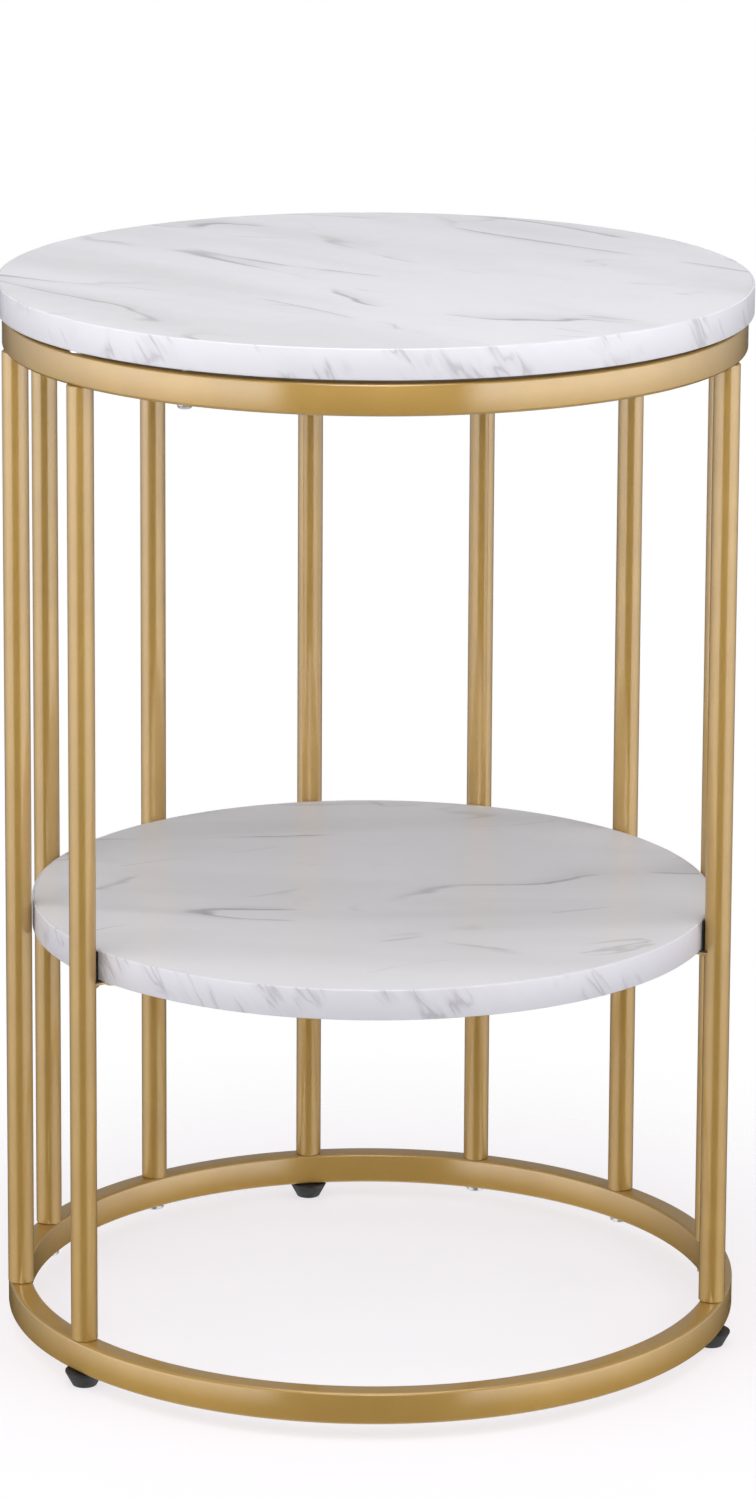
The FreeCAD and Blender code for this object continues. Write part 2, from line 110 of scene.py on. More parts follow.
class Wiring:
    """A node tree while it is wired up."""

    def __init__(self, tree: bpy.types.NodeTree) -> None:
        """Takes a tree on.

        Args:
            tree: The tree of a material or a world.
        """
        self.tree = tree

    def node(self, kind: str, **settings: object) -> bpy.types.Node:
        """Adds a node.

        Args:
            kind: The node's type.
            settings: The properties to set on it.

        Returns:
            The new node.
        """
        made = self.tree.nodes.new(kind)
        for name, value in settings.items():
            setattr(made, name, value)
        return made

    def feed(self, socket: Socket, value: object) -> None:
        """Links a socket to another, or sets it to a constant.

        Args:
            socket: The input socket.
            value: An output socket, a number, or a row of numbers.
        """
        if isinstance(value, bpy.types.NodeSocket):
            self.tree.links.new(value, socket)
        else:
            socket.default_value = value

    def sum(self, operation: str, first: object, second: object = 0.0) -> Socket:
        """One step of arithmetic.

        Args:
            operation: What is done.
            first: The first number or socket.
            second: The second one, where the operation takes two.

        Returns:
            The result.
        """
        made = self.node("ShaderNodeMath", operation=operation)
        self.feed(made.inputs[0], first)
        self.feed(made.inputs[1], second)
        return made.outputs[0]

    def times(self, first: object, second: object) -> Socket:
        """The product of two numbers or sockets."""
        return self.sum("MULTIPLY", first, second)

    def ramp(self, value: Socket, start: Stop, finish: Stop, change: Change = Change.SMOOTH) -> Socket:
        """A change from one number to another.

        Args:
            value: What drives the change.
            start: The value where the change starts, and the number or socket there.
            finish: The value where it ends, and the number or socket there.
            change: How it runs in between.

        Returns:
            The changing number.
        """
        made = self.node("ShaderNodeMapRange", interpolation_type=change.value)
        for name, number in zip(
            ("Value", "From Min", "From Max", "To Min", "To Max"),
            (value, start[0], finish[0], start[1], finish[1]),
        ):
            self.feed(made.inputs[name], number)
        return made.outputs[0]


class Recipe(Wiring):
    """A node material while it is wired up."""

    def __init__(self, name: str) -> None:
        """Starts a material with one surface shader.

        Args:
            name: The material's name.
        """
        self.material = bpy.data.materials.new(name)
        self.material.use_nodes = True
        super().__init__(self.material.node_tree)
        self.shader = self.tree.nodes["Principled BSDF"]

    def surface(self, **inputs: object) -> None:
        """Feeds the shader's inputs, named with underscores for spaces."""
        for name, value in inputs.items():
            self.feed(self.shader.inputs[name.replace("_", " ")], value)

    def place(self, lengths: Sequence[float], turn: float = 0.0, start: Socket | None = None) -> Socket:
        """Coordinates that count in given lengths along turned axes.

        Args:
            lengths: The length that counts as one along each axis.
            turn: The angle of the first axis from +X.
            start: The coordinates to begin with, the object's own where none are given.

        Returns:
            The coordinates.
        """
        mapping = self.node("ShaderNodeMapping", vector_type="TEXTURE")
        begin = start or self.node("ShaderNodeTexCoord").outputs["Object"]
        self.feed(mapping.inputs["Vector"], begin)
        self.feed(mapping.inputs["Rotation"], (0.0, 0.0, math.radians(turn)))
        self.feed(mapping.inputs["Scale"], lengths)
        return mapping.outputs[0]

    def rim_place(self, radius: float) -> Socket:
        """Coordinates along a round rim and up it, which meet at the back.

        Args:
            radius: The rim's radius.

        Returns:
            The coordinates, in metres.
        """
        axes = self.node("ShaderNodeSeparateXYZ")
        self.feed(axes.inputs[0], self.node("ShaderNodeTexCoord").outputs["Object"])
        angle = self.sum("ARCTAN2", axes.outputs["X"], self.times(axes.outputs["Y"], -1.0))
        joined = self.node("ShaderNodeCombineXYZ")
        self.feed(joined.inputs["X"], self.times(angle, radius))
        self.feed(joined.inputs["Y"], axes.outputs["Z"])
        return joined.outputs[0]

    def noise(self, where: Socket, scale: float = 1.0, detail: float = 2.0, rough: float = 0.5) -> Socket:
        """Smooth noise from nought to one.

        Args:
            where: The coordinates.
            scale: How many features there are to a unit.
            detail: How many finer octaves are added.
            rough: How strong they are.

        Returns:
            The noise's value.
        """
        made = self.node("ShaderNodeTexNoise")
        self.feed(made.inputs["Vector"], where)
        self.feed(made.inputs["Scale"], scale)
        self.feed(made.inputs["Detail"], detail)
        self.feed(made.inputs["Roughness"], rough)
        return made.outputs[0]

    def drift(self, where: Socket, scale: float, amount: float) -> Socket:
        """Coordinates that wander.

        Args:
            where: The coordinates to bend.
            scale: How many bends there are to a unit.
            amount: How far they wander.

        Returns:
            The bent coordinates.
        """
        made = self.node("ShaderNodeTexNoise")
        self.feed(made.inputs["Vector"], where)
        self.feed(made.inputs["Scale"], scale)
        moved = self.node("ShaderNodeVectorMath", operation="MULTIPLY_ADD")
        self.feed(moved.inputs[0], made.outputs[1])
        self.feed(moved.inputs[1], (amount, amount, amount))
        self.feed(moved.inputs[2], where)
        return moved.outputs[0]

    def line(self, value: Socket, width: float) -> Socket:
        """A thin line where a noise passes its middle.

        Args:
            value: The noise.
            width: How far from the middle the line fades out.

        Returns:
            One on the line and nought away from it.
        """
        away = self.sum("ABSOLUTE", self.sum("SUBTRACT", value, 0.5))
        return self.ramp(away, (0.0, 1.0), (width, 0.0))

    def mix(self, share: Socket, first: object, second: object) -> Socket:
        """Blends two colours.

        Args:
            share: How much of the second one there is.
            first: The first colour or socket.
            second: The second colour or socket.

        Returns:
            The blended colour.
        """
        made = self.node("ShaderNodeMix", data_type="RGBA")
        self.feed(made.inputs[MIX_SHARE], share)
        for place, value in ((MIX_FIRST, first), (MIX_SECOND, second)):
            self.feed(made.inputs[place], (*value, 1.0) if isinstance(value, tuple) else value)
        return made.outputs[MIX_RESULT]

    def bump(self, height: Socket, strength: float, depth: float) -> Socket:
        """A relief that follows a height.

        Args:
            height: The height, from nought to one.
            strength: How much of it shows.
            depth: What a height of one measures.

        Returns:
            The normal.
        """
        made = self.node("ShaderNodeBump")
        self.feed(made.inputs["Height"], height)
        self.feed(made.inputs["Strength"], strength)
        self.feed(made.inputs["Distance"], depth)
        return made.outputs[0]


# Finishes


@dataclass(frozen=True)
class MarbleFace:
    """Marble-look foil on a board's faces: a pale ground with soft clouds and thin slanting veins."""

    name: str
    vein_turn: float
    ground: Colour = (0.76, 0.755, 0.79)
    cloud: Colour = (0.68, 0.675, 0.70)
    smoke: Colour = (0.50, 0.49, 0.51)
    vein: Colour = (0.25, 0.24, 0.245)
    vein_lengths: Triple = (0.34, 0.085, 0.1)
    vein_width: float = 0.01
    vein_share: float = 0.6
    smoke_share: float = 0.3
    sway: Point = (1.3, 0.5)
    jag: Point = (9.0, 0.05)
    thread_turn: float = 24.0
    thread_sway: Point = (2.0, 0.4)
    thread_share: float = 0.35
    roughness: Point = (0.3, 0.38)

    def material(self) -> bpy.types.Material:
        """Wires the finish up.

        Returns:
            The material.
        """
        recipe = Recipe(self.name)
        plain = recipe.place((0.1, 0.1, 0.1))
        bent = recipe.drift(recipe.place(self.vein_lengths, self.vein_turn), *self.sway)
        strong = recipe.noise(recipe.drift(bent, *self.jag), 1.0, 1.0, 0.3)
        patches = recipe.ramp(recipe.noise(plain, 1.2, 1.0), (0.47, 0.0), (0.62, 1.0))
        clouds = recipe.ramp(recipe.noise(bent, 1.1, 2.0), (0.4, 0.0), (0.68, 1.0))
        beside = recipe.ramp(strong, (0.44, 0.0), (0.5, 1.0))
        up_to = recipe.ramp(strong, (0.5, 1.0), (0.51, 0.0))
        smoke = recipe.times(recipe.times(beside, up_to), patches)
        veins = recipe.times(recipe.line(strong, self.vein_width), patches)
        across = recipe.place(self.vein_lengths, self.vein_turn + self.thread_turn)
        crossing = recipe.drift(recipe.drift(across, *self.thread_sway), *self.jag)
        few = recipe.ramp(recipe.noise(plain, 1.9, 1.0), (0.54, 0.0), (0.66, 1.0))
        threads = recipe.times(recipe.line(recipe.noise(crossing, 1.5, 1.0, 0.3), self.vein_width), few)
        colour = recipe.mix(clouds, self.ground, self.cloud)
        colour = recipe.mix(recipe.times(smoke, self.smoke_share), colour, self.smoke)
        colour = recipe.mix(recipe.times(veins, self.vein_share), colour, self.vein)
        colour = recipe.mix(recipe.times(threads, self.thread_share), colour, self.vein)
        low, high = self.roughness
        recipe.surface(
            Base_Color=colour,
            Roughness=recipe.ramp(recipe.noise(plain, 7.0, 3.0), (0.3, low), (0.7, high)),
            IOR=1.5,
            Normal=recipe.bump(recipe.noise(plain, 60.0, 2.0), 0.1, 0.01 * MM),
        )
        return recipe.material


@dataclass(frozen=True)
class MarbleEdge:
    """Marble-look edge band: whiter than the faces, with short slanting streaks."""

    name: str
    radius: float
    ground: Colour = (0.79, 0.775, 0.832)
    shade: Colour = (0.745, 0.73, 0.787)
    streak: Colour = (0.30, 0.29, 0.315)
    streak_turn: float = -53.0
    streak_lengths: Triple = (0.036, 0.009, 0.05)
    sway: Point = (0.7, 0.8)
    jag: Point = (3.0, 0.22)
    line_width: float = 0.045
    line_share: float = 0.34
    blur_width: float = 0.16
    blur_share: float = 0.16
    roughness: Point = (0.3, 0.4)

    def material(self) -> bpy.types.Material:
        """Wires the finish up.

        Returns:
            The material.
        """
        recipe = Recipe(self.name)
        rim = recipe.rim_place(self.radius)
        plain = recipe.place((0.05, 0.05, 0.05), start=rim)
        slanted = recipe.place(self.streak_lengths, self.streak_turn, rim)
        bent = recipe.drift(recipe.drift(slanted, *self.sway), *self.jag)
        groups = recipe.ramp(recipe.noise(plain, 1.4, 1.0), (0.5, 0.0), (0.62, 1.0))
        streaks = recipe.noise(bent, 1.0, 2.0, 0.45)
        blur = recipe.times(recipe.line(streaks, self.blur_width), groups)
        lines = recipe.times(recipe.line(streaks, self.line_width), groups)
        colour = recipe.mix(recipe.noise(bent, 0.6, 2.0), self.ground, self.shade)
        colour = recipe.mix(recipe.times(blur, self.blur_share), colour, self.streak)
        colour = recipe.mix(recipe.times(lines, self.line_share), colour, self.streak)
        low, high = self.roughness
        recipe.surface(
            Base_Color=colour,
            Roughness=recipe.ramp(recipe.noise(plain, 6.0, 3.0), (0.3, low), (0.7, high)),
            IOR=1.5,
            Normal=recipe.bump(recipe.noise(plain, 40.0, 2.0), 0.1, 0.01 * MM),
        )
        return recipe.material


@dataclass(frozen=True)
class GoldPaint:
    """Matt gold paint, full of fine metal powder, under a satin clear coat."""

    name: str = "gold_satin"
    light: Colour = (0.534, 0.329, 0.082)
    deep: Colour = (0.493, 0.299, 0.072)
    metal: float = 0.6
    roughness: Point = (0.5, 0.56)
    coat_roughness: float = 0.12
    coat_index: float = 1.8

    def material(self) -> bpy.types.Material:
        """Wires the finish up.

        Returns:
            The material.
        """
        recipe = Recipe(self.name)
        place = recipe.place((0.01, 0.01, 0.01))
        flake = recipe.noise(place, 26.0, 1.0)
        cloud = recipe.noise(place, 0.35, 3.0)
        tone = recipe.sum("ADD", recipe.times(flake, 0.5), recipe.times(cloud, 0.5))
        peel = recipe.noise(place, 5.0, 2.0)
        low, high = self.roughness
        recipe.surface(
            Base_Color=recipe.mix(recipe.ramp(tone, (0.35, 0.0), (0.65, 1.0)), self.light, self.deep),
            Metallic=self.metal,
            Roughness=recipe.ramp(tone, (0.35, low), (0.65, high)),
            Coat_Weight=1.0,
            Coat_Roughness=self.coat_roughness,
            Coat_IOR=self.coat_index,
            Normal=recipe.bump(peel, 0.05, 0.02 * MM),
        )
        return recipe.material


@dataclass(frozen=True)
class ZincSteel:
    """Bright zinc plate on steel, clouded and finely scratched."""

    name: str = "bright_zinc"
    bright: Colour = (0.86, 0.86, 0.85)
    dull: Colour = (0.66, 0.67, 0.68)
    roughness: Point = (0.29, 0.4)

    def material(self) -> bpy.types.Material:
        """Wires the finish up.

        Returns:
            The material.
        """
        recipe = Recipe(self.name)
        place = recipe.place((0.004, 0.004, 0.004))
        scratched = recipe.place((0.004, 0.0002, 0.004), 20.0)
        cloud = recipe.noise(place, 1.5, 3.0)
        scratch = recipe.noise(scratched, 1.0, 2.0)
        low, high = self.roughness
        recipe.surface(
            Base_Color=recipe.mix(recipe.ramp(cloud, (0.3, 0.0), (0.7, 1.0)), self.bright, self.dull),
            Metallic=1.0,
            Roughness=recipe.ramp(scratch, (0.3, low), (0.7, high)),
            Normal=recipe.bump(scratch, 0.15, 0.01 * MM),
        )
        return recipe.material


@dataclass(frozen=True)
class BlackPlastic:
    """Moulded black plastic with a fine matt texture. On the shelf buffers its black also paints the shadow
    line in the gaps beside and under the shelf.
    """

    name: str = "moulded_black"
    dark: Colour = (0.012, 0.012, 0.013)
    worn: Colour = (0.03, 0.03, 0.032)
    roughness: Point = (0.36, 0.5)

    def material(self) -> bpy.types.Material:
        """Wires the finish up.

        Returns:
            The material.
        """
        recipe = Recipe(self.name)
        place = recipe.place((0.002, 0.002, 0.002))
        spark = recipe.noise(place, 4.0, 2.0)
        worn = recipe.noise(place, 0.5, 3.0)
        low, high = self.roughness
        recipe.surface(
            Base_Color=recipe.mix(recipe.ramp(worn, (0.4, 0.0), (0.75, 1.0)), self.dark, self.worn),
            Roughness=recipe.ramp(spark, (0.3, low), (0.7, high)),
            IOR=1.48,
            Normal=recipe.bump(spark, 0.25, 0.03 * MM),
        )
        return recipe.material


@dataclass(frozen=True)
class GlueBead:
    """Cream hot-melt glue in the joint between a board and its edge band."""

    name: str = "cream_glue"
    pale: Colour = (0.52, 0.50, 0.48)
    dirty: Colour = (0.36, 0.34, 0.33)
    roughness: Point = (0.45, 0.6)

    def material(self) -> bpy.types.Material:
        """Wires the finish up.

        Returns:
            The material.
        """
        recipe = Recipe(self.name)
        spots = recipe.noise(recipe.place((0.01, 0.01, 0.01)), 1.2, 3.0)
        low, high = self.roughness
        recipe.surface(
            Base_Color=recipe.mix(recipe.ramp(spots, (0.35, 0.0), (0.7, 1.0)), self.pale, self.dirty),
            Roughness=recipe.ramp(spots, (0.3, low), (0.7, high)),
        )
        return recipe.material


@dataclass(frozen=True)
class PaleFloor:
    """Pale studio floor that runs out into the white behind it."""

    name: str = "pale_floor"
    colour: Colour = (0.31, 0.305, 0.31)
    roughness: float = 0.8
    shine: float = 0.2
    glow: float = 0.66
    glow_tint: Colour = (1.0, 0.972, 1.0)
    solid_to: float = 0.2
    gone_at: float = 0.5

    def material(self) -> bpy.types.Material:
        """Wires the finish up.

        Returns:
            The material.
        """
        recipe = Recipe(self.name)
        reach = recipe.node("ShaderNodeVectorMath", operation="LENGTH")
        recipe.feed(reach.inputs[0], recipe.node("ShaderNodeTexCoord").outputs["Object"])
        recipe.surface(
            Base_Color=(*self.colour, 1.0),
            Roughness=self.roughness,
            Specular_IOR_Level=self.shine,
            Emission_Color=(*self.glow_tint, 1.0),
            Emission_Strength=self.glow,
            Alpha=recipe.ramp(reach.outputs["Value"], (self.solid_to, 1.0), (self.gone_at, 0.0)),
        )
        return recipe.material


@dataclass(frozen=True)
class Finishes:
    """The finishes that several pieces share, wired up once."""

    gold: bpy.types.Material = field(default_factory=lambda: GoldPaint().material())
    zinc: bpy.types.Material = field(default_factory=lambda: ZincSteel().material())
    black: bpy.types.Material = field(default_factory=lambda: BlackPlastic().material())
    glue: bpy.types.Material = field(default_factory=lambda: GlueBead().material())


# Meshes


def new_object(name: str, shape: bmesh.types.BMesh) -> bpy.types.Object:
    """Makes an object from a shape, with its faces turned outwards.

    Args:
        name: The object's name.
        shape: The shape, which is used up.

    Returns:
        The object, linked to the scene.
    """
    bmesh.ops.recalc_face_normals(shape, faces=shape.faces)
    mesh = bpy.data.meshes.new(name)
    shape.to_mesh(mesh)
    shape.free()
    made = bpy.data.objects.new(name, mesh)
    bpy.context.scene.collection.objects.link(made)
    return made


def new_piece(name: str, shape: bmesh.types.BMesh, finish: bpy.types.Material) -> bpy.types.Object:
    """Makes a finished piece from a shape, with smooth faces that break at sharp corners.

    Args:
        name: The piece's name.
        shape: The shape, which is used up.
        finish: The piece's material.

    Returns:
        The piece, linked to the scene.
    """
    piece = new_object(name, shape)
    piece.data.shade_smooth()
    piece.data.set_sharp_from_angle(angle=math.radians(SHARP_ANGLE))
    piece.data.materials.append(finish)
    return piece


def cut_away(shape: bmesh.types.BMesh, tool: bmesh.types.BMesh) -> bmesh.types.BMesh:
    """Cuts one shape out of another.

    Args:
        shape: The shape that is cut, which is used up.
        tool: What is taken away, which is used up too. Its bars may cross.

    Returns:
        What is left.
    """
    whole, cutter = new_object("whole", shape), new_object("cutter", tool)
    step = whole.modifiers.new("cut", "BOOLEAN")
    step.object, step.operation, step.solver, step.use_self = cutter, "DIFFERENCE", "EXACT", True
    bpy.context.view_layer.update()
    shown = whole.evaluated_get(bpy.context.evaluated_depsgraph_get())
    left = bmesh.new()
    left.from_mesh(bpy.data.meshes.new_from_object(shown))
    for unwanted in (whole, cutter):
        bpy.data.objects.remove(unwanted)
    return left


def lathe(shape: bmesh.types.BMesh, profile: Sequence[Point], segments: int, at: Vector) -> None:
    """Turns a closed profile about an upright axis. Points on the axis become one point.

    Args:
        shape: The shape to add to.
        profile: The radius and height of each corner, in order round the section.
        segments: How many sides the turned form has.
        at: Where the axis is, and the height that the profile counts from.
    """
    rows = []
    for radius, height in profile:
        if radius == 0.0:
            rows.append([shape.verts.new(at + Vector((0.0, 0.0, height)))] * segments)
            continue
        turns = [math.tau * step / segments for step in range(segments)]
        points = [Vector((radius * math.cos(turn), radius * math.sin(turn), height)) for turn in turns]
        rows.append([shape.verts.new(at + point) for point in points])
    closed = all(radius > 0.0 for radius, _ in profile)
    following = rows[1:] + rows[:1] if closed else rows[1:]
    for row, other in zip(rows, following):
        for step in range(segments):
            after = (step + 1) % segments
            corners = dict.fromkeys((row[step], row[after], other[after], other[step]))
            if len(corners) > 2:
                shape.faces.new(corners)


def rounded(corner: Point, centre: Point, steps: int = 4) -> list[Point]:
    """Points of a quarter round that takes the place of a corner.

    Args:
        corner: The corner that is rounded off.
        centre: The centre of the round.
        steps: How many pieces the round has.

    Returns:
        The points, from the one level with the centre to the one above or below it.
    """
    reach = (corner[0] - centre[0], corner[1] - centre[1])
    turns = [math.pi / 2 * step / steps for step in range(steps + 1)]
    return [(centre[0] + reach[0] * math.cos(t), centre[1] + reach[1] * math.sin(t)) for t in turns]


def skin(shape: bmesh.types.BMesh, rows: Sequence[Sequence[Vector]]) -> None:
    """Closes rows of points into a tube with flat ends.

    Args:
        shape: The shape to add to.
        rows: The points round the tube, in as many rows as it has along it.
    """
    made = [[shape.verts.new(point) for point in row] for row in rows]
    for row, other in zip(made, made[1:]):
        for side in range(len(row)):
            after = (side + 1) % len(row)
            shape.faces.new((row[side], row[after], other[after], other[side]))
    shape.faces.new(reversed(made[0]))
    shape.faces.new(made[-1])


def threaded(
    shape: bmesh.types.BMesh, at: Vector, length: float, radius: Callable[[float, float], float],
    step: float, segments: int = 28,
) -> None:
    """A rod whose radius changes along it and round it, closed at both ends.

    Args:
        shape: The shape to add to.
        at: The middle of the rod's lower end.
        length: The rod's length.
        radius: Gives the radius at a height and a turn, in radians.
        step: How far apart its rows of points are.
        segments: How many sides it has.
    """
    count = round(length / step)
    rows = []
    for height in (length * row / count for row in range(count + 1)):
        turns = [math.tau * side / segments for side in range(segments)]
        spots = [(radius(height, turn), turn) for turn in turns]
        rows.append([at + Vector((r * math.cos(t), r * math.sin(t), height)) for r, t in spots])
    skin(shape, rows)


@dataclass(frozen=True)
class Thread:
    """A screw thread, by its sizes and the shape of its crests."""

    diameter: float
    core: float
    pitch: float
    top: float
    slope: float
    rows_per_turn: int

    @property
    def step(self) -> float:
        """How far apart the rows of points along the thread are."""
        return self.pitch / self.rows_per_turn

    def radius(self, height: float, turn: float) -> float:
        """The radius, which rises and falls with the turns.

        Args:
            height: The height above the thread's start.
            turn: The turn about its axis, in radians.

        Returns:
            The radius.
        """
        phase = (height / self.pitch - turn / math.tau) % 1.0
        crest = min(1.0, max(0.0, self.top - abs(phase - 0.5) * self.slope))
        return self.core / 2 + crest * (self.diameter - self.core) / 2


def spot(radius: float, angle: float, height: float) -> Vector:
    """A place by its radius and angle about the table's axis, and its height."""
    turn = math.radians(angle)
    return Vector((radius * math.cos(turn), radius * math.sin(turn), height))


def hand_over(piece: bpy.types.Object, body: Body, slot: Slot, *nodes: str) -> None:
    """Lets a piece ride on its body and stand for its nodes.

    Args:
        piece: The piece.
        body: The body it rides on.
        slot: The material slot meant for the piece; not used.
        nodes: The nodes it stands for, if any.
    """
    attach(piece, body.value)
    if nodes:
        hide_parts(*nodes)
    log.info("made %s on %s, for %s", piece.name, body.value, ", ".join(nodes) or "no node")


def dress(node: str, finish: bpy.types.Material) -> None:
    """Gives a node that stays its finish.

    Args:
        node: The node's name.
        finish: The material for all of its slots.
    """
    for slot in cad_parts[node].material_slots:
        slot.material = finish
    log.info("dressed %s in %s", node, finish.name)


# The table


@dataclass
class MarbleBoard:
    """A round board with its edge band, and the glue between them."""

    word: str
    finishes: Finishes
    vein_turn: float
    band_thickness: float = 1.0 * MM
    band_round: float = 0.5 * MM
    glue_thickness: float = 0.2 * MM
    glue_depth: float = 0.12 * MM
    segments: int = 256

    @property
    def radius(self) -> float:
        """The radius over the edge band."""
        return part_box(f"{self.word}_edging")[1].x

    @property
    def heights(self) -> Point:
        """The heights of the lower and the upper face."""
        low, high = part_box(f"{self.word}_edging")
        return low.z, high.z

    def build_band(self) -> None:
        """Makes the edge band, with its two outer corners rounded over."""
        (low, high), outer, ease = self.heights, self.radius, self.band_round
        inner = outer - self.band_thickness
        upper = rounded((outer, high), (outer - ease, high - ease))
        lower = rounded((outer, low), (outer - ease, low + ease))[::-1]
        shape = bmesh.new()
        lathe(shape, [(inner, low), *lower, *upper, (inner, high)], self.segments, Vector())
        finish = MarbleEdge(f"marble_edge_{self.word}", outer).material()
        piece = new_piece(f"{self.word}_edge_band", shape, finish)
        hand_over(piece, Body.TABLE, Slot.BOARD_EDGING, f"{self.word}_edging")

    def build_glue(self) -> None:
        """Makes the glue that shows as a fine line inside the edge band."""
        low, high = self.heights
        outer = self.radius - self.band_thickness
        inner = outer - self.glue_thickness
        low, high = low + self.glue_depth, high - self.glue_depth
        shape = bmesh.new()
        lathe(shape, [(inner, low), (outer, low), (outer, high), (inner, high)], self.segments, Vector())
        piece = new_piece(f"{self.word}_glue_line", shape, self.finishes.glue)
        hand_over(piece, Body.TABLE, Slot.BOARD_EDGING)

    def build(self) -> None:
        """Makes and dresses the board."""
        face = MarbleFace(f"marble_face_{self.word}", self.vein_turn)
        dress(f"{self.word}_board", face.material())
        self.build_band()
        self.build_glue()


@dataclass
class TubeRing:
    """A ring bent from rectangular tube with rounded corners, drilled for what passes through it."""

    word: str
    finishes: Finishes
    bolt_angles: Sequence[float]
    screw_angles: Sequence[float] = ()
    outer: float = 197.0 * MM
    inner: float = 185.0 * MM
    corner: float = 1.5 * MM
    bolt_hole: float = 6.6 * MM
    screw_hole: float = 4.5 * MM
    past: float = 1.0 * MM
    segments: int = 384
    corner_steps: int = 6
    hole_segments: int = 32

    def profile(self, low: float, high: float) -> list[Point]:
        """The tube's section.

        Args:
            low: The height of its underside.
            high: The height of its top.

        Returns:
            The corners in order, with their rounding.
        """
        ease, steps = self.corner, self.corner_steps
        inner, outer = self.inner + ease, self.outer - ease
        return [
            *rounded((self.inner, low), (inner, low + ease), steps),
            *rounded((self.outer, low), (outer, low + ease), steps)[::-1],
            *rounded((self.outer, high), (outer, high - ease), steps),
            *rounded((self.inner, high), (inner, high - ease), steps)[::-1],
        ]

    def build(self) -> None:
        """Makes the ring, which stands for its node."""
        low, high = (corner.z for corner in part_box(f"{self.word}_ring"))
        ring, drills = bmesh.new(), bmesh.new()
        lathe(ring, self.profile(low, high), self.segments, Vector())
        middle = (self.outer + self.inner) / 2
        for angles, hole in ((self.bolt_angles, self.bolt_hole), (self.screw_angles, self.screw_hole)):
            for angle in angles:
                start, finish = (0.0, low - self.past), (0.0, high + self.past)
                bar = [start, (hole / 2, start[1]), (hole / 2, finish[1]), finish]
                lathe(drills, bar, self.hole_segments, spot(middle, angle, 0.0))
        piece = new_piece(f"{self.word}_tube_ring", cut_away(ring, drills), self.finishes.gold)
        hand_over(piece, Body.TABLE, Slot.GOLD_PAINT, f"{self.word}_ring")


@dataclass
class TubeFrame:
    """The two rings, the nine uprights, and the plugs and bolts that join them."""

    finishes: Finishes
    screw_angles: Sequence[float]
    uprights_per_side: int = 4
    upright_pitch: float = 29.3

    def uprights(self) -> list[str]:
        """The names of the uprights' nodes."""
        sides = [f"upright_{side}_{place + 1}" for side in ("left", "right")
                 for place in range(self.uprights_per_side)]
        return ["upright_back", *sides]

    def build(self) -> None:
        """Makes the rings, and dresses the painted tubes and the plated steel."""
        count = 2 * self.uprights_per_side + 1
        angles = [Support.RIGHT.value + self.upright_pitch * place for place in range(count)]
        TubeRing("upper", self.finishes, angles, self.screw_angles).build()
        TubeRing("lower", self.finishes, angles).build()
        for node in self.uprights():
            dress(node, self.finishes.gold)
        for node in ("upper_frame_bolts", "lower_frame_bolts", "upper_tube_plugs", "lower_tube_plugs"):
            dress(node, self.finishes.zinc)


@dataclass
class BoardScrews:
    """A row of pan-headed board screws, with cross recesses and coarse threads."""

    word: str
    finishes: Finishes
    angles: Sequence[float]
    radius: float
    seat: float
    length: float
    thread: Thread = Thread(4.0 * MM, 2.8 * MM, 1.6 * MM, top=1.0, slope=5.0, rows_per_turn=8)
    point: float = 3.0 * MM
    tip: float = 0.05 * MM
    head_diameter: float = 8.0 * MM
    head_height: float = 2.8 * MM
    head_segments: int = 40
    recess_width: float = 1.1 * MM
    recess_span: float = 4.4 * MM
    recess_depth: float = 1.4 * MM
    recess_taper: float = 0.55

    def reach(self, height: float, turn: float) -> float:
        """The shank's radius, with its thread and its point.

        Args:
            height: The height above the seat.
            turn: The turn about the screw's axis, in radians.

        Returns:
            The radius.
        """
        left = max(0.0, self.length - height) / self.point
        return max(self.tip, self.thread.radius(height, turn) * min(1.0, left))

    def head_profile(self) -> list[Point]:
        """The pan head's section, from the middle of its crown to the middle of its seat."""
        half, height = self.head_diameter / 2, self.head_height
        crown = [(0.0, -1.0), (0.35, -0.985), (0.6, -0.93), (0.8, -0.82), (0.93, -0.62), (1.0, -0.36)]
        return [(half * r, height * z) for r, z in crown] + [(half, 0.0), (0.0, 0.0)]

    def press_cross(self, shape: bmesh.types.BMesh, at: Vector) -> None:
        """Adds the cross that is pressed into a head: two bars that taper to the bottom.

        Args:
            shape: The shape to add to.
            at: The middle of the screw's seat.
        """
        for turn in (0.0, math.pi / 2):
            bar = bmesh.ops.create_cube(shape, size=1.0)["verts"]
            for vert in bar:
                taper = 1.0 if vert.co.z < 0.0 else self.recess_taper
                vert.co.x *= self.recess_span * taper
                vert.co.y *= self.recess_width * taper
                vert.co.z *= self.recess_depth * 2
            bmesh.ops.rotate(shape, verts=bar, matrix=Matrix.Rotation(turn, 3, "Z"))
            bmesh.ops.translate(shape, verts=bar, vec=at - Vector((0.0, 0.0, self.head_height)))

    def build(self) -> None:
        """Makes the screws as one piece, which stands for their node."""
        places = [spot(self.radius, angle, self.seat) for angle in self.angles]
        heads, crosses = bmesh.new(), bmesh.new()
        for at in places:
            lathe(heads, self.head_profile(), self.head_segments, at)
            self.press_cross(crosses, at)
        whole = cut_away(heads, crosses)
        for at in places:
            threaded(whole, at, self.length, self.reach, self.thread.step)
        piece = new_piece(f"{self.word}_cross_screws", whole, self.finishes.zinc)
        hand_over(piece, Body.TABLE, Slot.ZINC_STEEL, f"{self.word}_screws")


